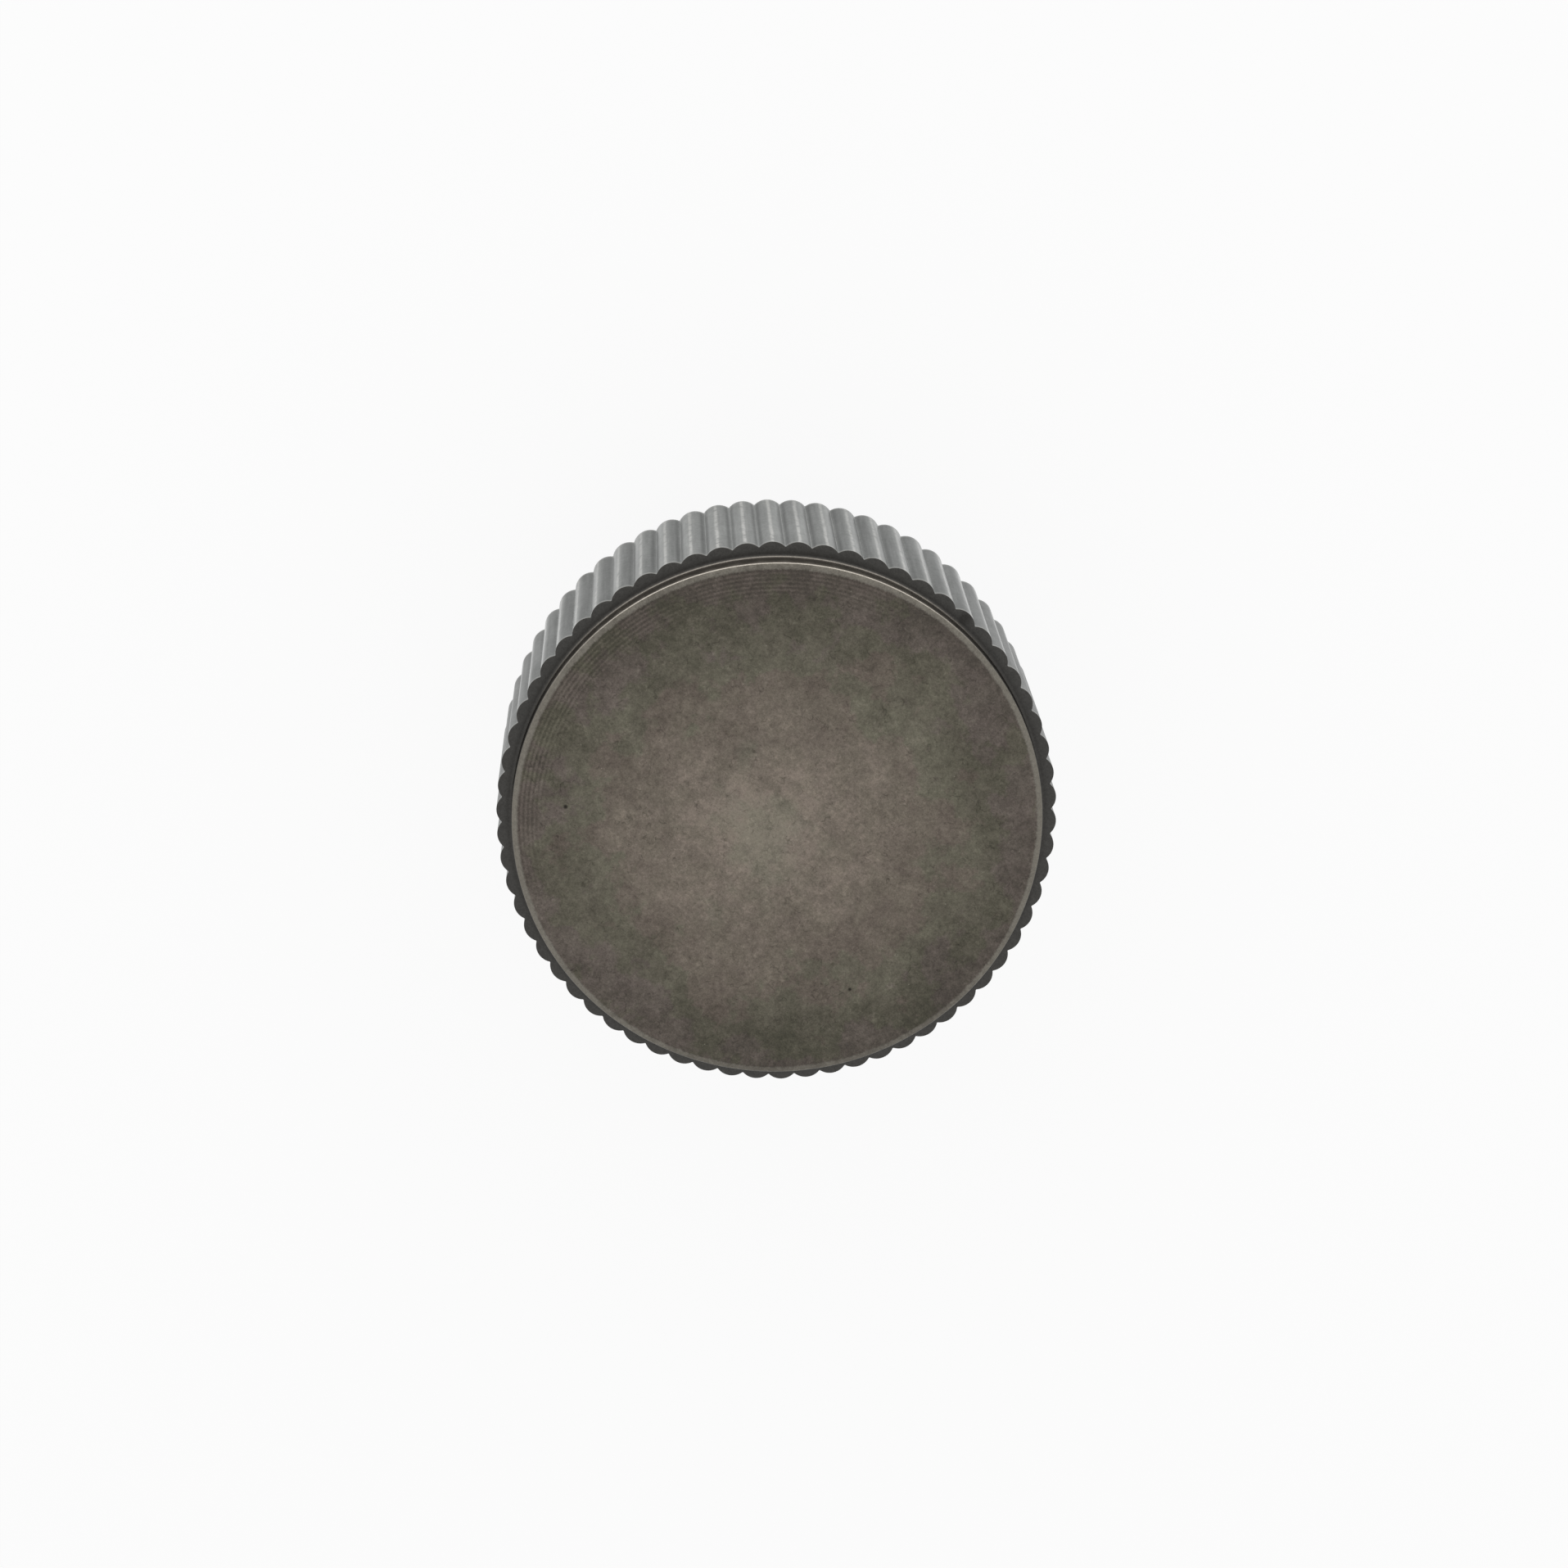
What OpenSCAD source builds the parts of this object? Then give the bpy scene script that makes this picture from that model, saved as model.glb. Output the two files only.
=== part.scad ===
// Ribbed knob: a solid metal knob turned from bar. Its edge is reeded with straight round ribs,
// a disc with a sloping rim is raised on the front, and a plain stem behind takes the fixing screw.
// Millimetres. The foot of the stem stands on z = 0 and the face looks along +z.

/* [Ribbed head] */
// Diameter over the rib crests
head_d = 34; // [30:0.5:40]
// Length of the ribs, from the back of the head to the step round the disc
head_h = 12; // [8:0.5:18]
// Number of ribs round the edge
rib_count = 66; // [56:1:84]
// Radius of the round back of a rib
rib_r = 1.08; // [0.95:0.01:1.3]

/* [Raised disc] */
// Width of the flat step, from the rib crests to the wall of the disc
step_w = 0.96; // [0.8:0.02:2.4]
// Height of the disc's wall above the step
wall_h = 1.36; // [0.8:0.02:2.4]
// Radius of the fillet at the foot of that wall
wall_fillet_r = 0.2; // [0.05:0.01:0.3]
// Width of the sloping rim between the wall and the face
rim_w = 0.33; // [0.1:0.01:0.8]
// Height of the sloping rim
rim_h = 0.17; // [0.05:0.01:0.5]
// Radius of the round between the wall and the rim
rim_edge_r = 0.1; // [0.04:0.01:0.2]
// Radius of the round between the rim and the face
face_edge_r = 0.58; // [0.2:0.02:1]

/* [Stem] */
// Diameter of the stem
stem_d = 14; // [11:0.5:20]
// Length of the stem, from its foot to the back of the head
stem_h = 11.5; // [8:0.5:20]
// Radius of the fillet between the stem and the head
stem_fillet_r = 1.2; // [0.4:0.1:2.4]
// Width of the bevel round the foot of the stem
foot_bevel_w = 0.3; // [0.1:0.05:1]

/* [Screw hole] */
// Diameter of the hole drilled for the thread
hole_d = 3.3; // [2.5:0.1:4.2]
// Depth of the hole's straight wall, from the foot of the stem
hole_depth = 11; // [7:0.5:18]
// Width of the countersunk lead at the hole's mouth
hole_lead_w = 0.5; // [0.2:0.05:1]
// Angle of the drill's point, in degrees
drill_point_deg = 118; // [90:1:140]

/* [Hidden] */
$fn = 96;

// How far cutting shapes and overlapping shapes run past a surface
overrun = 0.5;

head_r = head_d / 2;
rib_pitch_deg = 360 / rib_count;
rib_centre_r = head_r - rib_r;
disc_r = head_r - step_w;
stem_r = stem_d / 2;
hole_r = hole_d / 2;

// Slope of the rim, and the most of it that the round at either edge may take
rim_slope_deg = atan2(rim_h, rim_w);
rim_round_share = 0.45;
rim_round_len = rim_round_share * norm([rim_w, rim_h]);

// Heights up the axis, from the foot of the stem to the face
head_z = stem_h;
step_z = head_z + head_h;
rim_z = step_z + wall_h;
face_z = rim_z + rim_h;

// Metal that fills an inner corner at the origin with a round of radius r.
// It fills the quarter where x and y are positive, and laps the metal on both sides of the corner.
module corner_fillet(r) {
    difference() {
        translate([-overrun, -overrun]) square(r + overrun);
        translate([r, r]) circle(r);
    }
}

// Cutter that rounds an outer corner at the origin with radius r. The metal fills the angle between
// the directions from_deg and to_deg, and the round takes up no more than side_len of either side.
module corner_round(from_deg, to_deg, r, side_len) {
    half_deg = (to_deg - from_deg) / 2;
    cut_len = min(r / tan(half_deg), side_len);
    round_r = cut_len * tan(half_deg);
    chord_x = cut_len * cos(half_deg);
    half_w = cut_len * sin(half_deg) + overrun;
    rotate((from_deg + to_deg) / 2) difference() {
        translate([-overrun, -half_w]) square([chord_x + overrun, 2 * half_w]);
        translate([round_r / sin(half_deg), 0]) circle(round_r);
    }
}

// Half section of the turned blank. The head is left oversize, for the ribs to be cut from.
module turned_section() {
    blank_r = head_r + overrun;
    difference() {
        polygon([
            [0, 0],
            [stem_r - foot_bevel_w, 0],
            [stem_r, foot_bevel_w],
            [stem_r, head_z],
            [blank_r, head_z],
            [blank_r, step_z],
            [disc_r, step_z],
            [disc_r, rim_z],
            [disc_r - rim_w, face_z],
            [0, face_z]
        ]);
        translate([disc_r, rim_z]) corner_round(180 - rim_slope_deg, 270, rim_edge_r, rim_round_len);
        translate([disc_r - rim_w, face_z])
            corner_round(180, 360 - rim_slope_deg, face_edge_r, rim_round_len);
    }
    translate([disc_r, step_z]) corner_fillet(wall_fillet_r);
    translate([stem_r, head_z]) mirror([0, 1]) corner_fillet(stem_fillet_r);
}

// Outline of the reeded edge: a round core with a ring of round ribs that meet in sharp valleys.
// A valley lies on the x axis.
module reeded_outline() {
    circle(rib_centre_r);
    for (i = [0 : rib_count - 1])
        rotate((i + 1 / 2) * rib_pitch_deg) translate([rib_centre_r, 0]) circle(rib_r);
}

// Blind hole up the stem, with a countersunk mouth and the cone that the drill leaves.
module screw_hole() {
    rotate_extrude() polygon([
        [0, -overrun],
        [hole_r + hole_lead_w + overrun, -overrun],
        [hole_r, hole_lead_w],
        [hole_r, hole_depth],
        [0, hole_depth + hole_r / tan(drill_point_deg / 2)]
    ]);
}

module knob() {
    color([0.4, 0.37, 0.33]) difference() {
        intersection() {
            rotate_extrude() turned_section();
            translate([0, 0, -overrun]) linear_extrude(face_z + 2 * overrun) reeded_outline();
        }
        screw_hole();
    }
}

knob();
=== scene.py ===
# %% [markdown]
# # A ribbed knob in dark bronze
# The knob is one turned piece of metal: a reeded head with a raised disc on its front, and a plain
# stem behind it with a tapped hole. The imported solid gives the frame. This lesson models the same
# form again with finer edges, gives it a worn patina, and sets it on a white floor.

# %% Load the frame
import math

import bmesh
import bpy
from mathutils import Matrix, Vector


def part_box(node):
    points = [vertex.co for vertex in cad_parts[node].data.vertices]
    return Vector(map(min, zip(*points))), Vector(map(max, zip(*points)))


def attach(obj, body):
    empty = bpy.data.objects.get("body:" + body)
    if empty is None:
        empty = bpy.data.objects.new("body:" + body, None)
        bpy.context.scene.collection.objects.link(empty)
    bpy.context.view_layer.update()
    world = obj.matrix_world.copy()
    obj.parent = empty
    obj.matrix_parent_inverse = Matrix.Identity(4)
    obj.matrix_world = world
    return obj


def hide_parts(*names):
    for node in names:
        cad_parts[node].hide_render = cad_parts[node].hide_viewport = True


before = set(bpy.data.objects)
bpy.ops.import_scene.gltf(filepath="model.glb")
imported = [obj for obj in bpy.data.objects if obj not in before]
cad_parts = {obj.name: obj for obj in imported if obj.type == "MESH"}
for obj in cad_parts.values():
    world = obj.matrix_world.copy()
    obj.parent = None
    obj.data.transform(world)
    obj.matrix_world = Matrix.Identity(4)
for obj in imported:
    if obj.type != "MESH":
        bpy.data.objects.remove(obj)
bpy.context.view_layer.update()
knob_low, knob_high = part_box("knob")
print("the solid knob spans", tuple(knob_low), "to", tuple(knob_high))

# %% [markdown]
# ## Sizes
# Blender works in metres, but edges a tenth of a millimetre wide are easier to read, and safer for
# the mesh tools, in millimetres. The mesh is made in millimetres and shrunk once at the end. The two
# outer sizes come from the frame, and the rest are the knob's own measures.

# %% Sizes in millimetres
MM = 0.001
crest_r = knob_high.y / MM
face_z = knob_high.z / MM

rib_count = 66
rib_r = 1.08
head_h = 12.0
step_w = 0.96
wall_h = 1.36
wall_fillet_r = 0.2
rim_w = 0.33
rim_h = 0.17
rim_edge_r = 0.1
face_edge_r = 0.58
stem_r = 7.0
stem_fillet_r = 1.2
foot_bevel_w = 0.3
hole_r = 1.65
hole_depth = 11.0
hole_lead_w = 0.5
drill_point_deg = 118

disc_r = crest_r - step_w
rim_z = face_z - rim_h
step_z = rim_z - wall_h
head_z = step_z - head_h
AXIS = (0, 0, 1)
CENTRE = (0, 0, 0)
print(f"crest radius {crest_r:.2f}, step at {step_z:.2f}, back of the head at {head_z:.2f} mm")

# %% [markdown]
# ## The reeded outline
# Each rib is a round back that meets the next one in a sharp valley. An array of cylinders would
# leave hidden walls inside, so the outline is drawn as a line instead. One point is spun about the
# middle of a rib to make its arc, and the arc is spun about the knob's axis, copy by copy.

# %% Draw one rib's arc and copy it round
rib_steps = 12
half_pitch = math.pi / rib_count
rib_centre_r = crest_r - rib_r
valley_rise = math.sqrt(rib_r**2 - (rib_centre_r * math.sin(half_pitch)) ** 2)
valley_r = rib_centre_r * math.cos(half_pitch) + valley_rise
rib_half_arc = math.asin(valley_r * math.sin(half_pitch) / rib_r)
rib_centre = Matrix.Rotation(half_pitch, 3, "Z") @ Vector((rib_centre_r, 0, 0))

knob_mesh = bmesh.new()
valley_point = knob_mesh.verts.new((valley_r, 0, head_z))
bmesh.ops.spin(
    knob_mesh, geom=[valley_point], cent=rib_centre, axis=AXIS,
    angle=2 * rib_half_arc, steps=rib_steps,
)
bmesh.ops.spin(
    knob_mesh, geom=knob_mesh.verts[:] + knob_mesh.edges[:], cent=CENTRE, axis=AXIS,
    angle=2 * half_pitch * (rib_count - 1), steps=rib_count - 1, use_duplicate=True,
)
TOUCH = 1e-4
bmesh.ops.remove_doubles(knob_mesh, verts=knob_mesh.verts[:], dist=TOUCH)
print(f"outline of {len(knob_mesh.edges)} edges, valleys {crest_r - valley_r:.3f} mm deep")

# %% [markdown]
# ## The ribbed wall
# The outline is pulled up along the axis like dough through a die, which is how reeded bar is made.
# A cutter never leaves a perfect inner corner, so the valley edges get a very small round.

# %% Pull the outline up and soften the valleys
valley_soft_w = 0.05


def lies_at(vert, z):
    return abs(vert.co.z - z) < TOUCH


pulled = bmesh.ops.extrude_edge_only(knob_mesh, edges=knob_mesh.edges[:])["geom"]
bmesh.ops.translate(
    knob_mesh, vec=(0, 0, head_h), verts=[v for v in pulled if isinstance(v, bmesh.types.BMVert)]
)
valley_edges = [
    e for e in knob_mesh.edges
    if all(v.co.xy.length < valley_r + TOUCH for v in e.verts)
]
bmesh.ops.bevel(
    knob_mesh, geom=valley_edges, offset=valley_soft_w, offset_type="OFFSET",
    affect="EDGES", segments=2, profile=0.5, material=-1,
)
print(f"{len(valley_edges)} valleys softened")

# %% [markdown]
# ## Broken edges at the rib ends
# Cutting leaves a burr that would scratch a hand, so the sharp edge is just taken off at both ends of the
# ribs. Both ends are closed with one large face, and a rounded bevel runs along its border, round every
# scallop. Loops close to the bevel keep the long wall's shading straight.

# %% Close both ends and break their edges
edge_break_w = 0.025
support_gap = 0.05


def open_loop(z):
    return [e for e in knob_mesh.edges if e.is_boundary and all(lies_at(v, z) for v in e.verts)]


def flat_cap(z):
    found = [
        f for f in knob_mesh.faces
        if len(f.verts) > rib_count and all(lies_at(v, z) for v in f.verts)
    ]
    return found[0]


for end_z in (head_z, step_z):
    bmesh.ops.holes_fill(knob_mesh, edges=open_loop(end_z), sides=0)
bmesh.ops.recalc_face_normals(knob_mesh, faces=knob_mesh.faces[:])
end_edges = [e for z in (head_z, step_z) for e in flat_cap(z).edges]
bmesh.ops.bevel(
    knob_mesh, geom=end_edges, offset=edge_break_w, offset_type="OFFSET",
    affect="EDGES", segments=3, profile=0.5, material=-1,
)
for loop_z in (head_z + edge_break_w + support_gap, step_z - edge_break_w - support_gap):
    bmesh.ops.bisect_plane(
        knob_mesh, geom=knob_mesh.verts[:] + knob_mesh.edges[:] + knob_mesh.faces[:],
        plane_co=(0, 0, loop_z), plane_no=AXIS,
    )
for end_z in (head_z, step_z):
    bmesh.ops.inset_individual(knob_mesh, faces=[flat_cap(end_z)], thickness=support_gap)
print(f"{len(end_edges)} rib-end edges broken by {edge_break_w} mm")

# %% [markdown]
# ## The raised disc
# The front was turned on a lathe, so its shape is one line spun about the axis. The line starts on
# the step, climbs the small fillet and the wall, slopes in along the rim and ends on the face. It
# replaces the cap at the front, and a bridge of faces joins it to the scalloped edge. The lathe line
# has sharp corners at the rim, and a bevel rounds them afterwards, because a bevel keeps the round
# tangent to both sides whatever the slope.

# %% Spin the front and join it to the ribs
fillet_steps = 6


def draw_line(start):
    return knob_mesh.verts.new(start)


def draw_to(vert, r, z):
    tip = bmesh.ops.extrude_vert_indiv(knob_mesh, verts=[vert])["verts"][0]
    tip.co = (r, 0, z)
    return tip


def draw_arc(vert, centre_r, centre_z, degrees, steps):
    made = bmesh.ops.spin(
        knob_mesh, geom=[vert], cent=(centre_r, 0, centre_z), axis=(0, -1, 0),
        angle=math.radians(degrees), steps=steps,
    )
    return made["geom_last"][0]


def line_edges():
    return [e for e in knob_mesh.edges if e.is_wire]


def spin_line(steps):
    edges = line_edges()
    verts = {v for e in edges for v in e.verts}
    before = set(knob_mesh.faces)
    bmesh.ops.spin(
        knob_mesh, geom=list(verts) + edges, cent=CENTRE, axis=AXIS,
        angle=2 * math.pi, steps=steps, use_merge=True,
    )
    return [f for f in knob_mesh.faces if f not in before]


def ring_at(r, z):
    return [
        e for e in knob_mesh.edges
        if all(lies_at(v, z) and abs(v.co.xy.length - r) < TOUCH for v in e.verts)
    ]


def join_rings(cap, r, z):
    border = list(cap.edges)
    bmesh.ops.delete(knob_mesh, geom=[cap], context="FACES_ONLY")
    bmesh.ops.bridge_loops(knob_mesh, edges=border + ring_at(r, z))


fillet_r = disc_r + wall_fillet_r
step_cap = flat_cap(step_z)
turn_steps = len(step_cap.verts)
tip = draw_line((fillet_r + support_gap, 0, step_z))
tip = draw_to(tip, fillet_r, step_z)
tip = draw_arc(tip, fillet_r, step_z + wall_fillet_r, -90, fillet_steps)
tip = draw_to(tip, disc_r, rim_z)
tip = draw_to(tip, disc_r - rim_w, face_z)
front_faces = spin_line(turn_steps)
join_rings(step_cap, fillet_r + support_gap, step_z)
bmesh.ops.holes_fill(knob_mesh, edges=ring_at(disc_r - rim_w, face_z), sides=0)
bmesh.ops.recalc_face_normals(knob_mesh, faces=knob_mesh.faces[:])
print(f"front turned in {turn_steps} steps, {len(front_faces)} faces")

# %% Round the edges of the rim
rim_slope = math.atan2(rim_h, rim_w)


def round_edge(r, z, corner_angle, round_r):
    width = round_r / math.tan(corner_angle / 2)
    bmesh.ops.bevel(
        knob_mesh, geom=ring_at(r, z), offset=width, offset_type="OFFSET",
        affect="EDGES", segments=4, profile=0.5, material=-1,
    )
    return width


rim_edge_w = round_edge(disc_r, rim_z, math.pi / 2 + rim_slope, rim_edge_r)
face_edge_w = round_edge(disc_r - rim_w, face_z, math.pi - rim_slope, face_edge_r)
bmesh.ops.inset_individual(knob_mesh, faces=[flat_cap(face_z)], thickness=support_gap)
print(f"rounds take {rim_edge_w:.3f} and {face_edge_w:.3f} mm of the rim's sides")

# %% [markdown]
# ## The stem
# Behind the head the same lathe line runs inwards along the flat back, down a fillet and the stem,
# round the bevelled foot, and stops at the mouth of the screw hole.

# %% Spin the stem and join it to the back of the head
stem_steps = rib_count * 2
stem_fillet_steps = 8
mouth_r = hole_r + hole_lead_w
back_cap = flat_cap(head_z)
tip = draw_line((stem_r + stem_fillet_r + support_gap, 0, head_z))
tip = draw_to(tip, stem_r + stem_fillet_r, head_z)
tip = draw_arc(tip, stem_r + stem_fillet_r, head_z - stem_fillet_r, 90, stem_fillet_steps)
tip = draw_to(tip, stem_r, head_z - stem_fillet_r - support_gap)
tip = draw_to(tip, stem_r, foot_bevel_w)
tip = draw_to(tip, stem_r - foot_bevel_w, 0)
tip = draw_to(tip, mouth_r, 0)
stem_faces = spin_line(stem_steps)
join_rings(back_cap, stem_r + stem_fillet_r + support_gap, head_z)
print(f"stem turned in {stem_steps} steps, {len(stem_faces)} faces")

# %% [markdown]
# ## The screw thread
# A fixing screw comes up from below into an M4 thread. A thread is one small profile carried along a
# helix: the spin tool does that when each step also moves the profile up. The strip is made too long,
# its turns are merged into a tube, and two planes trim it before it is joined to the mouth and the
# drilled bottom.

# %% Spin the thread and trim it
thread_pitch = 0.7
thread_root_r = 2.0
crest_flat = thread_pitch / 4
root_flat = thread_pitch / 8
flank_h = (thread_pitch - crest_flat - root_flat) / 2
turn_resolution = 36
thread_top = hole_depth - thread_pitch
spare_turns = 2
thread_turns = math.ceil(thread_top / thread_pitch) + spare_turns

tip = draw_line((hole_r, 0, -thread_pitch))
tip = draw_to(tip, hole_r, tip.co.z + crest_flat)
tip = draw_to(tip, thread_root_r, tip.co.z + flank_h)
tip = draw_to(tip, thread_root_r, tip.co.z + root_flat)
tip = draw_to(tip, hole_r, tip.co.z + flank_h)
thread_line = line_edges()
thread_verts = list({v for e in thread_line for v in e.verts})
other_verts = set(knob_mesh.verts) - set(thread_verts)
bmesh.ops.spin(
    knob_mesh, geom=thread_verts + thread_line, cent=CENTRE, axis=AXIS,
    dvec=(0, 0, thread_pitch / turn_resolution),
    angle=2 * math.pi * thread_turns, steps=turn_resolution * thread_turns,
)
thread_verts = [v for v in knob_mesh.verts if v not in other_verts]
bmesh.ops.remove_doubles(knob_mesh, verts=thread_verts, dist=TOUCH)


def trim_thread(z, above):
    verts = [v for v in knob_mesh.verts if v not in other_verts]
    edges = list({e for v in verts for e in v.link_edges})
    faces = list({f for v in verts for f in v.link_faces})
    cut = bmesh.ops.bisect_plane(
        knob_mesh, geom=verts + edges + faces, plane_co=(0, 0, z), plane_no=AXIS,
        clear_outer=above, clear_inner=not above,
    )
    return [e for e in cut["geom_cut"] if isinstance(e, bmesh.types.BMEdge)]


top_loop = trim_thread(thread_top, above=True)
bottom_loop = trim_thread(hole_lead_w, above=False)
bmesh.ops.bridge_loops(knob_mesh, edges=bottom_loop + ring_at(mouth_r, 0))

drill_tip_z = hole_depth + hole_r / math.tan(math.radians(drill_point_deg / 2))
tip = draw_line((hole_r, 0, thread_top + crest_flat))
tip = draw_to(tip, hole_r, hole_depth)
tip = draw_to(tip, 0, drill_tip_z)
spin_line(turn_resolution)
bmesh.ops.bridge_loops(
    knob_mesh, edges=top_loop + ring_at(hole_r, thread_top + crest_flat)
)
print(f"thread of {thread_turns - spare_turns} turns at {thread_pitch} mm pitch")

# %% [markdown]
# ## Finish the mesh
# The pole at the drill's point is merged, the normals are turned outwards, and the open edges and the
# volume are printed. Smooth shading with sharp edges above an angle keeps the flats flat and the rounds
# round.

# %% Close, test and hand the mesh to an object
sharp_from_deg = 40
bmesh.ops.remove_doubles(knob_mesh, verts=knob_mesh.verts[:], dist=TOUCH)
bmesh.ops.recalc_face_normals(knob_mesh, faces=knob_mesh.faces[:])
loose_edges = [e for e in knob_mesh.edges if not e.is_manifold]
volume = knob_mesh.calc_volume(signed=True)
print(f"{len(knob_mesh.faces)} faces, {len(loose_edges)} open edges, {volume:.0f} mm3")
bmesh.ops.scale(knob_mesh, vec=(MM, MM, MM), verts=knob_mesh.verts[:])

mesh = bpy.data.meshes.new("bronze_knob")
knob_mesh.to_mesh(mesh)
knob_mesh.free()
mesh.shade_smooth()
mesh.set_sharp_from_angle(angle=math.radians(sharp_from_deg))
bronze_knob = bpy.data.objects.new("bronze_knob", mesh)
bpy.context.scene.collection.objects.link(bronze_knob)
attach(bronze_knob, "root")
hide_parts("knob")
print("bronze_knob stands for the solid knob")

# %% [markdown]
# ## Shader sums in Python
# A patina is many small sums of masks. Wired by hand they are hard to read, so one small class wraps
# a socket: adding or multiplying two of them adds a Math node, and `add` makes any other node.


# %% A socket that can be added and multiplied
class Field:
    def __init__(self, socket):
        self.socket = socket
        self.tree = socket.id_data

    def add(self, kind, settings=None, inputs=None, output=0):
        made = self.tree.nodes.new(kind)
        for name, value in (settings or {}).items():
            if name == "stops":
                set_stops(made.color_ramp, value)
            else:
                setattr(made, name, value)
        for name, value in (inputs or {}).items():
            if isinstance(value, Field):
                self.tree.links.new(value.socket, made.inputs[name])
            else:
                made.inputs[name].default_value = value
        return Field(made.outputs[output])

    def math(self, operation, other=0.0):
        return self.add("ShaderNodeMath", {"operation": operation}, {0: self, 1: other})

    def __add__(self, other):
        return self.math("ADD", other)

    __radd__ = __add__

    def __mul__(self, other):
        return self.math("MULTIPLY", other)

    __rmul__ = __mul__

    def __sub__(self, other):
        return self.math("SUBTRACT", other)

    def __rsub__(self, other):
        return self.add("ShaderNodeMath", {"operation": "SUBTRACT"}, {0: other, 1: self})

    def rise(self, low, high):
        return self.add(
            "ShaderNodeMapRange", {"interpolation_type": "SMOOTHSTEP"},
            {"Value": self, "From Min": low, "From Max": high},
        )

    def fall(self, low, high):
        return 1 - self.rise(low, high)

    def tint(self, base, other):
        return self.add(
            "ShaderNodeMix", {"data_type": "RGBA"}, {"Factor": self, "A": base, "B": other}, output=2
        )


def set_stops(ramp, stops):
    while len(ramp.elements) < len(stops):
        ramp.elements.new(0.5)
    for element, (position, colour) in zip(ramp.elements, stops):
        element.position = position
        element.color = colour


def shade(red, green, blue):
    """A colour read off a screen, 0 to 255, as the linear light that shaders use."""
    parts = [c / 255 for c in (red, green, blue)]
    linear = [c / 12.92 if c <= 0.04045 else ((c + 0.055) / 1.055) ** 2.4 for c in parts]
    return (*linear, 1.0)


print("shader helpers ready")

# %% [markdown]
# ## Where on the knob
# The patina is painted by place: how far from the axis, how high, and how far across a rib. All of it
# comes from the knob's own coordinates, so the finish stays put when the knob or the camera moves.

# %% Radius, height and the way across a rib
patina = bpy.data.materials.new("dark_bronze_patina")
patina.use_nodes = True
patina_tree = patina.node_tree
patina_tree.nodes.clear()
here = Field(patina_tree.nodes.new("ShaderNodeTexCoord").outputs["Object"])
place = here.add("ShaderNodeVectorMath", {"operation": "SCALE"}, {0: here, "Scale": 1 / MM})
split = place.add("ShaderNodeSeparateXYZ", None, {0: place}).socket.node
x, y, z = (Field(split.outputs[i]) for i in range(3))


def length(across, along):
    return (across * across + along * along).math("SQRT")


radius = length(x, y)
rib_pitch = 2 * half_pitch * crest_r
rib_turn = (y.math("ARCTAN2", x) * (1 / (2 * half_pitch))).math("FRACT")
off_crest = (rib_turn - 0.5) * rib_pitch
off_valley = rib_pitch / 2 - off_crest.math("ABSOLUTE")
print(f"ribs lie {rib_pitch:.2f} mm apart")

# %% [markdown]
# ## Clouds
# Old metal is never even. Clouds of noise in several sizes break up every border and every tone. Noise
# is built on a grid, which shows as a weave on a flat face that lies along it, so the clouds are
# turned askew first.


# %% Clouds of noise
ASKEW = (0.6, 0.4, 0.9)


def cloud(scale, detail, roughness=0.55, stretch=(1, 1, 1), shift=(0, 0, 0)):
    moved = place.add(
        "ShaderNodeMapping", {"vector_type": "POINT"},
        {"Vector": place, "Location": shift, "Rotation": ASKEW, "Scale": stretch},
    )
    return place.add(
        "ShaderNodeTexNoise", {"noise_dimensions": "3D"},
        {"Vector": moved, "Scale": scale, "Detail": detail, "Roughness": roughness},
    )


mottle = cloud(0.16, 7, roughness=0.95) - 0.5
fine_mottle = cloud(1.2, 4, roughness=1.0) - 0.5
print("two clouds: mottle and fine mottle")

# %% [markdown]
# ## Zones
# Each zone is a mask that is 1 on its own surface and 0 elsewhere: the face, the rim, the wall, the step,
# the ribs and their ends, which get a painted highlight. A smooth rise at each border keeps the change
# from one to the next as soft as hand rubbing leaves it.

# %% Masks for the front
border_w = 0.02
rim_fray = 0.3
rim_blur_in = 0.1
rim_blur_out = 0.07
rim_inner_r = disc_r - rim_w
above_wall = z.rise(rim_z - 2 * border_w, rim_z + border_w)
face_reach = radius + fine_mottle * rim_fray
face = above_wall * face_reach.fall(rim_inner_r - rim_blur_in, rim_inner_r + rim_blur_out)
rim = above_wall - face
wall = z.rise(step_z + border_w, step_z + wall_fillet_r) - above_wall
step = z.rise(step_z - border_w, step_z) - wall - above_wall
print("zones of the front: face, rim, wall and step")

# %% Masks for the ribs
rib_skin = 0.5
end_clear = 0.01
end_highlight_near = 0.1
end_highlight_far = 0.45
outside = radius.rise(stem_r + stem_fillet_r, valley_r - rib_skin)
above_back = z.rise(head_z + end_clear, head_z + 3 * end_clear)
below_step = z.fall(step_z - 3 * end_clear, step_z - end_clear)
ribs = outside * above_back * below_step
# the ends of the ribs, where a highlight is painted
front_end = z.rise(step_z - end_highlight_far, step_z - end_highlight_near)
back_end = z.fall(head_z + end_highlight_near, head_z + end_highlight_far)
rib_ends = ribs * (front_end + back_end)
print("zones of the edge: ribs and rib ends")

# %% [markdown]
# ## The patina on the face
# The face was darkened, then rubbed back from the middle, and its turned finish shines brightest in the
# middle. One value holds both the rub and a painted sheen of the turned finish: high in the middle,
# falling to the rim, and broken up by the clouds. The pale patch is a little longer one way than the
# other. A colour ramp turns that value into light and dark.

# %% How far the face was rubbed, with its painted sheen
pale_x = 0.4
pale_y = 0.45
middle_rub_and_sheen = 0.985
rub_and_sheen_slope = 0.042
rub_and_sheen_bend = 0.0006
x_weight = 0.88
y_weight = 1.06
mottle_share = 1.85
fine_share = 0.95


def rub_and_sheen_at(distance):
    return middle_rub_and_sheen - distance * rub_and_sheen_slope - distance * distance * rub_and_sheen_bend


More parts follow.
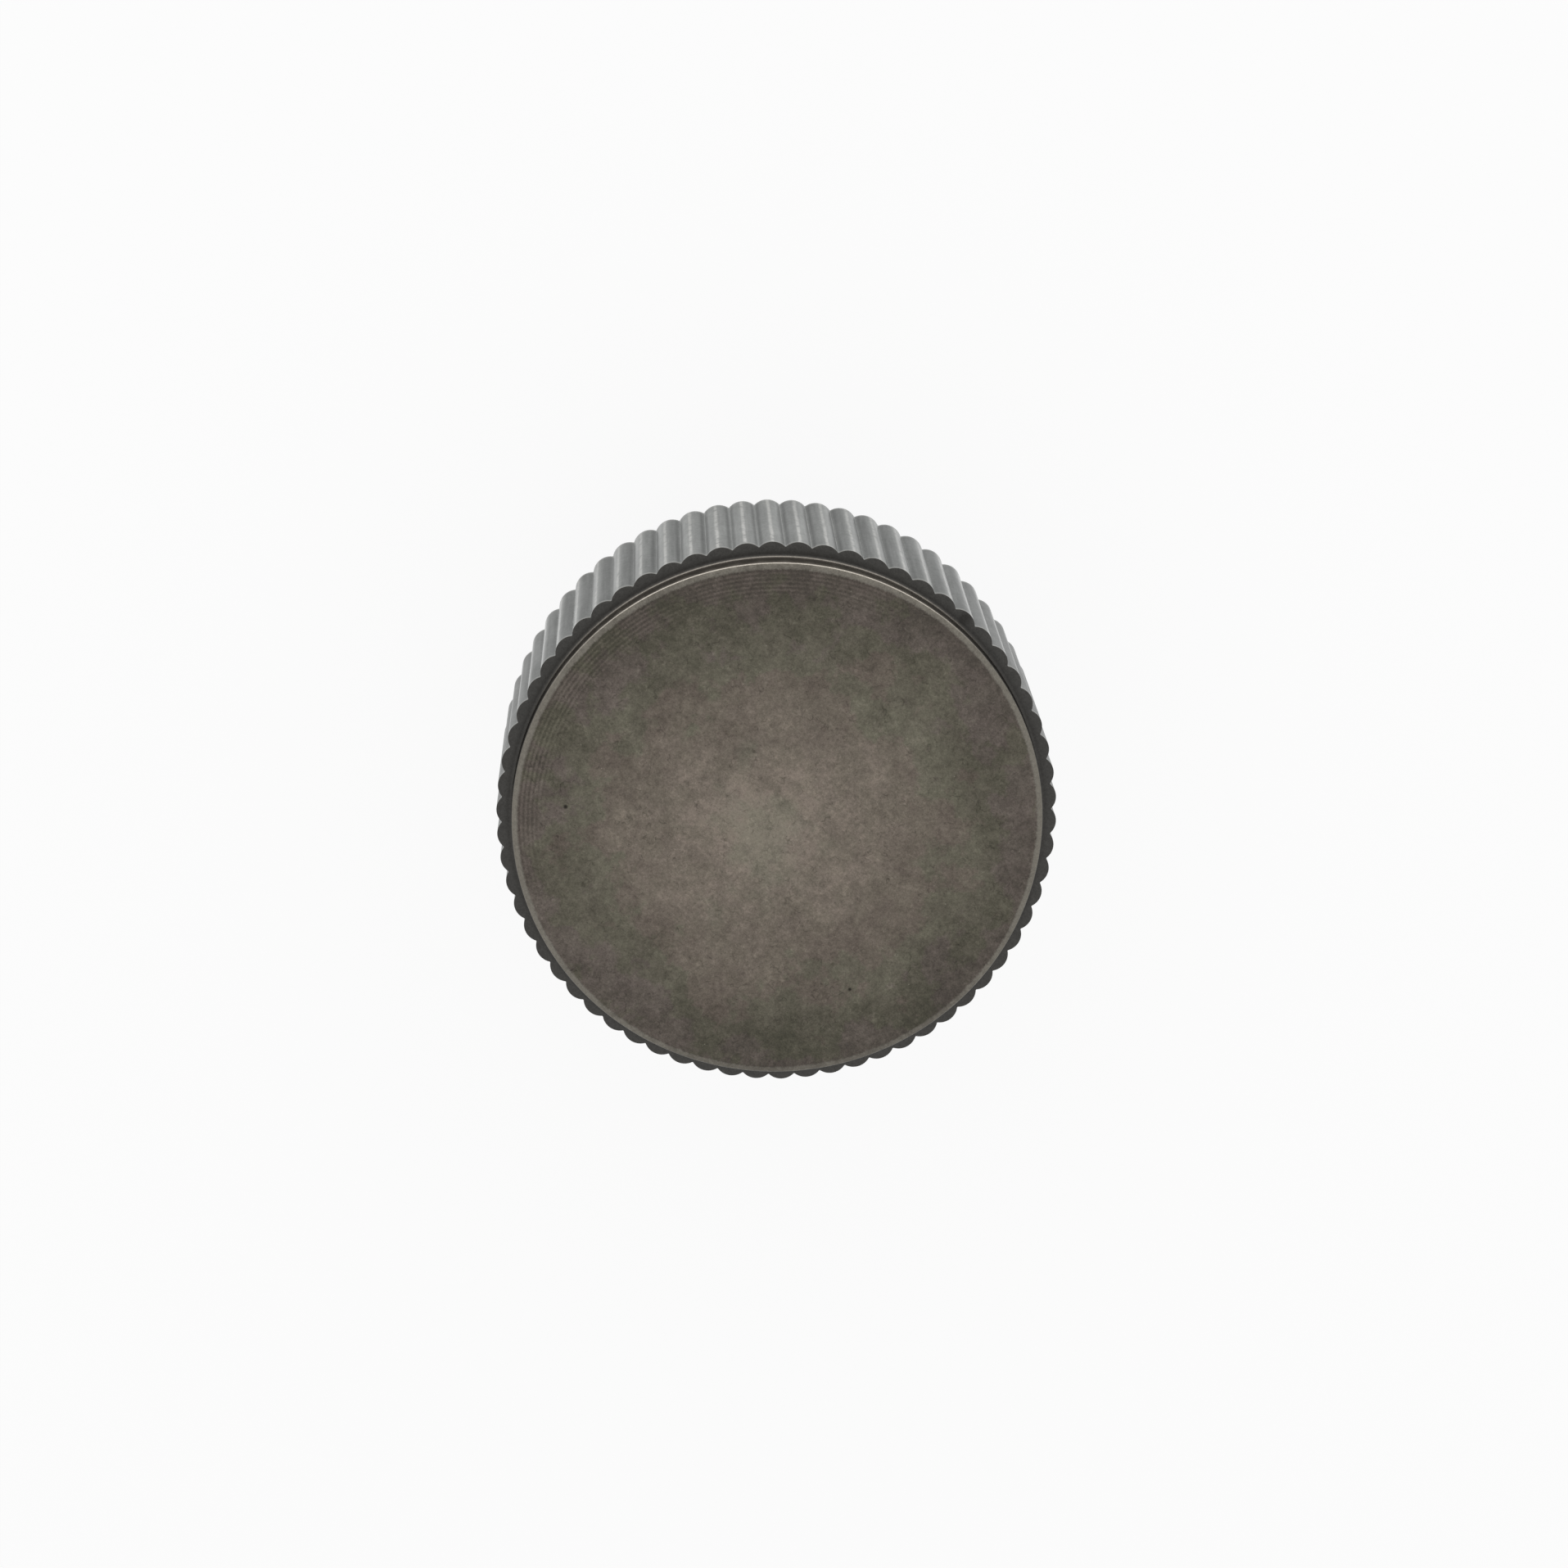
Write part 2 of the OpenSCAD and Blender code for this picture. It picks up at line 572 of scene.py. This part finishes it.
from_pale = length((x - pale_x) * x_weight, (y - pale_y) * y_weight)
# the rub of the patina and a painted sheen of the turned finish, held in one value
rub_and_sheen = rub_and_sheen_at(from_pale) + mottle * mottle_share + fine_mottle * fine_share
print(f"the rub falls from {middle_rub_and_sheen} in the middle to the rim")

# %% [markdown]
# A lathe tool leaves fine rings. Most were rubbed away, and some are left near the rim on one side, as
# light and dark bands. A sine of the radius draws them, and a cloud wears gaps in them.

# %% Turning rings near the rim
ring_pitch = 0.262
first_ring_r = 15.12
rings_from_r = 13.6
rings_full_r = 14.6
ring_side = Vector((0.5, -0.85))
sector_from = 3
sector_full = 11
ring_share = 0.14
ring_wave = ((radius - first_ring_r) * (2 * math.pi / ring_pitch)).math("SINE")
ring_sector = (x * ring_side.x + y * ring_side.y).rise(sector_from, sector_full)
ring_wear = cloud(0.35, 2, shift=(4, 0, 0)).rise(0.2, 0.52)
rings = face * radius.rise(rings_from_r, rings_full_r) * ring_sector * ring_wear * ring_wave
rub_and_sheen = rub_and_sheen + rings * ring_share
print(f"turning rings {ring_pitch} mm apart")

# %% Light and dark on the face
face_stops = [
    (0.00, shade(72, 68, 61)),
    (0.20, shade(82, 77, 69)),
    (0.36, shade(91, 85, 77)),
    (0.52, shade(99, 93, 84)),
    (0.72, shade(109, 103, 93)),
    (1.00, shade(127, 119, 108)),
]
face_colour = rub_and_sheen.add("ShaderNodeValToRGB", {"stops": face_stops}, {0: rub_and_sheen})
print(f"{len(face_stops)} tones on the face")

# %% [markdown]
# The hue goes its own way. From the rim to the middle the metal is a dull brown, then an olive belt, then
# a warm brown field, then a cooler middle. The belt follows the rub and the painted sheen only broadly,
# so the hue has a ramp of its own, moved about by larger clouds. Its stops are filters: a colour near
# white that is multiplied in, and so changes the hue and leaves light and dark alone. Small patches of
# olive and brown are laid over it in the same way.

# %% Olive and brown
hue_stops = [
    (0.25, (1.025, 1.0, 1.070, 1)),
    (0.31, (0.943, 1.0, 0.957, 1)),
    (0.44, (0.943, 1.0, 0.957, 1)),
    (0.50, (1.032, 1.0, 1.024, 1)),
    (0.80, (1.028, 1.0, 1.024, 1)),
    (0.93, (0.968, 1.0, 0.990, 1)),
]
olive_filter = (0.990, 1.0, 0.988, 1)
brown_filter = (1.010, 1.0, 1.010, 1)
hue_place = rub_and_sheen_at(length(x - pale_x, y - pale_y))
hue_place = hue_place + (cloud(0.3, 5, roughness=0.62, shift=(0, 3, 5)) - 0.5)
belts = hue_place.add("ShaderNodeValToRGB", {"stops": hue_stops}, {0: hue_place})
patches = cloud(0.7, 3, roughness=0.65, shift=(0, 0, 5)).rise(0.4, 0.6)


def filtered(base, colour_filter):
    return place.add(
        "ShaderNodeMix", {"data_type": "RGBA", "blend_type": "MULTIPLY"},
        {"Factor": 1.0, "A": base, "B": colour_filter}, output=2,
    )


face_colour = filtered(face_colour, belts)
face_colour = filtered(face_colour, patches.tint(olive_filter, brown_filter))
print(f"{len(hue_stops)} hues from the rim to the middle")

# %% The face on plain patina
plain_dark = shade(80, 77, 72)
plain_pale = shade(97, 94, 88)
plain_blur = 0.15
plain_colour = mottle.rise(-plain_blur, plain_blur).tint(plain_dark, plain_pale)
colour = face.tint(plain_colour, face_colour)
print("plain patina on the stem and the back, and the rubbed face")

# %% [markdown]
# ## The step, the wall and the rim
# The step kept most of its dark, and painted shade darkens its corner at the foot of the wall. The wall
# is dark too, except on the side that the window lights: there the wall, the fillet at its foot and the
# rounded edge of the rim are painted pale as painted highlights.
# The rim itself is rubbed paler all round, most at two opposite sides.

# %% Where the painted light and painted shade reach
lit_side_from = 0.45
lit_side_full = 0.92
foot_start = 0.06
foot_top = 0.25
foot_fade = 0.55
corner_shade_w = 0.35
edge_near = 0.03
edge_far_in = 0.07
edge_far_down = 0.06
# the side that the window lights, where highlights are painted
lit_side = (y * (-1 / disc_r)).rise(lit_side_from, lit_side_full)
wall_foot = z.rise(step_z, step_z + foot_start) * z.fall(step_z + foot_top, step_z + foot_fade)
# painted shade in the corner of the step, at the foot of the wall
step_corner_shade = step * radius.fall(fillet_r, fillet_r + corner_shade_w)
rim_edge = radius.rise(disc_r - edge_far_in, disc_r - edge_near)
rim_edge = rim_edge * z.rise(rim_z - edge_far_down, rim_z - edge_near)
print(f"dirt in the corner of the step, {corner_shade_w} mm wide")

# %% How far the rim was rubbed
rim_base = 0.26
rim_lean = 0.13
rim_mottle = 3.5
rim_fine_mottle = 3.0
dull_at = -0.2
pale_at = 1.2
rim_rub = rim_base + x * x * (1 / disc_r**2) - y * (rim_lean / disc_r)
rim_rub = rim_rub + mottle * rim_mottle + fine_mottle * rim_fine_mottle
print("the rim's rub is highest at two opposite sides")

# %% Colours of the step, the wall and the rim
dark_step = shade(69, 68, 66)
corner_shade = shade(40, 38, 36)
dark_wall = shade(58, 55, 51)
wall_highlight = shade(119, 113, 104)
foot_highlight = shade(124, 119, 112)
dull_rim = shade(95, 91, 84)
pale_rim = shade(116, 112, 104)
rim_edge_highlight = shade(162, 156, 147)
corner_shade_strength = 0.2
foot_strength = 0.8

colour = step.tint(colour, dark_step)
# painted shade darkens the step's corner
colour = (step_corner_shade * corner_shade_strength).tint(colour, corner_shade)
# painted highlight: the wall is painted lighter on the lit side
colour = wall.tint(colour, lit_side.tint(dark_wall, wall_highlight))
# painted highlight along the fillet at the foot of the wall
colour = (wall_foot * lit_side * foot_strength).tint(colour, foot_highlight)
colour = rim.tint(colour, rim_rub.rise(dull_at, pale_at).tint(dull_rim, pale_rim))
# painted highlight along the rounded edge of the rim
colour = (rim_edge * lit_side).tint(colour, rim_edge_highlight)
print("step, wall and rim coloured")

# %% [markdown]
# ## The ribs
# The ribs were cut after the darkening, so they are a cool grey with fine streaks along them. Fingers
# wear a bright line along each crest, broken here and there. On the two sides of the knob that line is a
# painted highlight that sits off the crest. The ends of the ribs get a painted highlight, and painted
# shade makes a dark line on both sides of each valley. One flank of each rib is painted lighter than the
# other as a painted sheen.

# %% Wear, painted highlights and painted shade across a rib
highlight_shift = 0.3
crest_wander = 0.12
line_core = (0.03, 0.15)
line_blur = (0.05, 0.4)
core_share = 0.8
valley_shade_from = (0.04, 0.14)
valley_shade_to = (0.16, 0.34)
valley_shade_sides = (0.1, 0.8)
back_line_share = 0.7
back_line_h = 2
side_loss = 0.6
flank_blur = 0.22
streak = cloud(3.0, 3, stretch=(1, 1, 0.06))
sideways = x * (1 / crest_r)
sideness = sideways.math("ABSOLUTE")
wander = (cloud(0.8, 2, shift=(0, 7, 0)) - 0.5) * crest_wander
# worn on the crest, and towards the sides a painted highlight shifted off the crest
near_crest = (off_crest - sideways * highlight_shift + wander).math("ABSOLUTE")
crest_line = near_crest.fall(*line_core) * core_share + near_crest.fall(*line_blur) * (1 - core_share)
gaps = cloud(1.6, 3, shift=(9, 0, 0)).rise(0.2, 0.55)
wear_and_highlight = gaps * (back_line_share + z.rise(head_z + back_line_h, step_z) * (1 - back_line_share))
wear_and_highlight = wear_and_highlight * (1 - sideness * side_loss)
crest = ribs * wear_and_highlight * crest_line
# painted shade along both sides of each valley
valley_side = ribs * off_valley.rise(*valley_shade_from) * off_valley.fall(*valley_shade_to)
valley_side = valley_side * sideness.fall(*valley_shade_sides)
# painted sheen: the flank of each rib that faces the side is lighter than the one that faces the window
flank = (off_crest * sideways).rise(-flank_blur, flank_blur)
print("crest lines, valley lines and flanks placed")

# %% Colours of the ribs
crest_wear_and_highlight = shade(182, 182, 178)
valley_shade = shade(62, 64, 62)
end_highlight = shade(160, 160, 156)
valley_strength = 0.5
end_strength = 0.5
streaky = streak.rise(0.3, 0.7)
# streaked rib colours for the painted shade and the painted sheen of the flanks
shaded_rib = streaky.tint(shade(94, 96, 94), shade(112, 114, 112))
sheen_rib = streaky.tint(shade(114, 117, 114), shade(132, 135, 132))

colour = ribs.tint(colour, flank.tint(shaded_rib, sheen_rib))
# the crest line: wear and a painted highlight
colour = crest.tint(colour, crest_wear_and_highlight)
# painted shade in the valleys
colour = (valley_side * valley_strength).tint(colour, valley_shade)
# painted highlight at the ends of the ribs
colour = (rib_ends * end_strength).tint(colour, end_highlight)
print("ribs coloured")

# %% [markdown]
# ## Small marks
# The face has two small pits, and the step has a stain. They are soft dark spots, each with its place,
# its size and its strength. Pale specks and fine pores lie all over the face, and cells of noise scatter
# them.

# %% Pits, a stain, specks and pores
marks = [(12.56, -2.52, 0.12, 0.85), (-3.19, 11.10, 0.1, 0.85), (-12.57, -10.88, 0.35, 0.45)]
mark_dark = shade(28, 26, 24)
mark_core = 0.4
mark_blur = 1.6
on_front = z.rise(step_z - 0.1, step_z)
for mark_x, mark_y, mark_r, strength in marks:
    away = length(x - mark_x, y - mark_y)
    spot = away.fall(mark_r * mark_core, mark_r * mark_blur) * on_front
    colour = (spot * strength).tint(colour, mark_dark)


def scattered(scale):
    return place.add(
        "ShaderNodeTexVoronoi", {"voronoi_dimensions": "3D", "feature": "F1"},
        {"Vector": place, "Scale": scale, "Randomness": 1.0},
    )


speck_pale = shade(150, 144, 132)
pore_dark = shade(48, 45, 41)
speck_strength = 0.4
pore_strength = 0.35
speck_size = (0.012, 0.045)
pore_size = (0.05, 0.14)
specks = face * scattered(0.7).fall(*speck_size)
pores = face * scattered(2.2).fall(*pore_size)
colour = (specks * speck_strength).tint(colour, speck_pale)
colour = (pores * pore_strength).tint(colour, pore_dark)
print(f"{len(marks)} dark marks, pale specks and fine pores")

# %% [markdown]
# Wiping and cleaning leave hair scratches: short, thin and bent, some pale and some filled with dirt. A
# cloud crosses its own middle along thin bent lines, and a second cloud breaks those into short pieces.

# %% Hair scratches
pale_hair = 0.2
dark_hair = 0.25
hair_w = (0.004, 0.02)
hair_gaps = (0.54, 0.62)


def hairs(shift):
    lines = (cloud(0.9, 2, shift=shift) - 0.5).math("ABSOLUTE").fall(*hair_w)
    pieces = cloud(1.1, 2, shift=(shift[1], shift[2], shift[0])).rise(*hair_gaps)
    return face * lines * pieces


scratches = hairs((2, 0, 8)) * pale_hair - hairs((5, 9, 1)) * dark_hair
print("pale and dark hair scratches on the face")

# %% [markdown]
# ## Grain, relief and gloss
# Patinated metal has a fine grain. Two sizes of it make every colour a little lighter or darker, and so
# do the scratches. A very shallow relief breaks up the reflections, but not on the rounded edge of the
# rim, whose highlight is painted. The worn places, the painted highlights and the painted sheen are
# smoother than the dull ones, and the painted valley shade is duller, so the gloss follows the same
# masks.

# %% Grain
grain_depth = 0.72
fine_grain_depth = 0.4
grain = cloud(4.5, 3, roughness=0.8) * grain_depth + cloud(10.0, 1) * fine_grain_depth
level = 1 - (grain_depth + fine_grain_depth) / 2 + grain + scratches
colour = filtered(colour, level.add("ShaderNodeCombineColor", None, {0: level, 1: level, 2: level}))
print("grain in two sizes")

# %% Relief
ring_depth = 0.002
grain_relief = 0.004
streak_depth = 0.004
relief = rings * ring_depth + cloud(6.0, 4) * grain_relief * (1 - rim_edge)
relief = relief + streak * ribs * streak_depth
bump = relief.add("ShaderNodeBump", None, {"Strength": 1.0, "Distance": MM, "Height": relief})
print("relief of the rings, the grain and the streaks")

# %% Gloss
plain_roughness = 0.38
mottle_dull = 0.3
rim_gloss = 0.05
rib_dull = 0.08
flank_gloss = 0.15
end_gloss = 0.03
valley_dull = 0.05
crest_gloss = 0.06
side_gloss = 0.08
side_from = 0.5
side_full = 0.95
roughness = plain_roughness + mottle * mottle_dull - rim * rim_gloss
roughness = roughness + ribs * (rib_dull - flank * flank_gloss)
roughness = roughness - rib_ends * end_gloss + valley_side * valley_dull - crest * crest_gloss
roughness = roughness - ribs * sideness.rise(side_from, side_full) * side_gloss
print(f"roughness about {plain_roughness}")

# %% The metal
metal = here.add(
    "ShaderNodeBsdfPrincipled", None,
    {"Base Color": colour, "Metallic": 1.0, "Roughness": roughness, "Normal": bump},
)
output = patina_tree.nodes.new("ShaderNodeOutputMaterial")
patina_tree.links.new(metal.socket, output.inputs["Surface"])
bronze_knob.data.materials.append(patina)
print(f"patina of {len(patina_tree.nodes)} nodes on the knob")

# %% [markdown]
# ## Floor and light
# The knob stands on a wide white floor under an even white sky. The floor lies a hair below the foot,
# because two faces in one plane flicker. The floor and the sky look white to the camera and in
# reflections, and light the knob at a plain level.


# %% Floor
def seen_rays(tree):
    ray = tree.nodes.new("ShaderNodeLightPath")
    seen = Field(ray.outputs["Is Camera Ray"])
    for other in ("Is Glossy Ray", "Is Transmission Ray"):
        seen = seen.math("MAXIMUM", Field(ray.outputs[other]))
    return seen


WHITE = (1, 1, 1, 1)
floor_half = 3.0
floor_gap = 0.02 * MM
floor_white = (0.95, 0.95, 0.95, 1)
floor_glow = 0.88
floor_mesh = bmesh.new()
bmesh.ops.create_grid(floor_mesh, x_segments=1, y_segments=1, size=floor_half)
bmesh.ops.translate(floor_mesh, vec=(0, 0, -floor_gap), verts=floor_mesh.verts[:])
floor_data = bpy.data.meshes.new("floor")
floor_mesh.to_mesh(floor_data)
floor_mesh.free()
floor = bpy.data.objects.new("floor", floor_data)
bpy.context.scene.collection.objects.link(floor)

floor_paint = bpy.data.materials.new("white_floor")
floor_paint.use_nodes = True
floor_tree = floor_paint.node_tree
floor_tree.nodes.clear()
seen = seen_rays(floor_tree)
lit = seen.add("ShaderNodeBsdfDiffuse", None, {"Color": floor_white})
white = seen.add("ShaderNodeEmission", None, {"Color": WHITE, "Strength": 1.0})
mixed = seen.add("ShaderNodeMixShader", None, {0: seen * floor_glow, 1: lit, 2: white})
floor_output = floor_tree.nodes.new("ShaderNodeOutputMaterial")
floor_tree.links.new(mixed.socket, floor_output.inputs["Surface"])
floor_data.materials.append(floor_paint)
print(f"floor {2 * floor_half} m wide")

# %% Sky
sky_light = 0.72
sky_seen = 1.0
sky = bpy.data.worlds.new("white_sky")
bpy.context.scene.world = sky
sky.use_nodes = True
sky_tree = sky.node_tree
sky_tree.nodes.clear()
seen = seen_rays(sky_tree)
sky_strength = sky_light + seen * (sky_seen - sky_light)
glow = seen.add("ShaderNodeBackground", None, {"Color": WHITE, "Strength": sky_strength})
sky_output = sky_tree.nodes.new("ShaderNodeOutputWorld")
sky_tree.links.new(glow.socket, sky_output.inputs["Surface"])
print(f"sky lights the knob at {sky_light}")

# %% [markdown]
# A long low window lies on the side that the visible ribs face, so that the rounded edges there catch a
# thin line of light. It is kept dim, because the flat face mirrors it when seen from the other side.

# %% Window lamp
window_distance = 0.65
window_height = math.radians(18)
window_turn = math.radians(8)
window_w = 1.4
window_h = 0.2
window_watts = 2.2
window_data = bpy.data.lights.new("window", "AREA")
window_data.shape = "RECTANGLE"
window_data.size = window_w
window_data.size_y = window_h
window_data.energy = window_watts
window = bpy.data.objects.new("window", window_data)
straight_ahead = Vector((0, -math.cos(window_height), math.sin(window_height)))
window.location = Matrix.Rotation(-window_turn, 3, "Z") @ straight_ahead * window_distance
window.rotation_euler = (-window.location).to_track_quat("-Z", "Y").to_euler()
bpy.context.scene.collection.objects.link(window)
print("window at", tuple(window.location))

# %% [markdown]
# ## Camera
# The picture looks down on the face from the side of the visible ribs, with those ribs at the top of
# the frame. The camera is built as a chain: stand on the middle of the step, face the ribs, lean by
# the tilt, turn by the roll, and step back.

# %% Camera
tilt = math.radians(16.21)
roll = math.radians(6.61)
camera_distance = 14.36 * crest_r * MM
camera_shift = Vector((0.0253, 0.1118)) * crest_r * MM
focal_px = 4912.6
picture_px = 1915

camera_data = bpy.data.cameras.new("camera")
camera_data.sensor_width = 36.0
camera_data.lens = camera_data.sensor_width * focal_px / picture_px
camera = bpy.data.objects.new("camera", camera_data)
camera.matrix_world = (
    Matrix.Translation((0, 0, step_z * MM))
    @ Matrix.Rotation(math.pi, 4, "Z")
    @ Matrix.Rotation(-tilt, 4, "X")
    @ Matrix.Rotation(-roll, 4, "Z")
    @ Matrix.Translation((camera_shift.x, camera_shift.y, camera_distance))
)
bpy.context.scene.collection.objects.link(camera)
bpy.context.scene.camera = camera
bpy.context.scene.view_settings.view_transform = "Standard"
print("camera at", tuple(camera.matrix_world.translation))
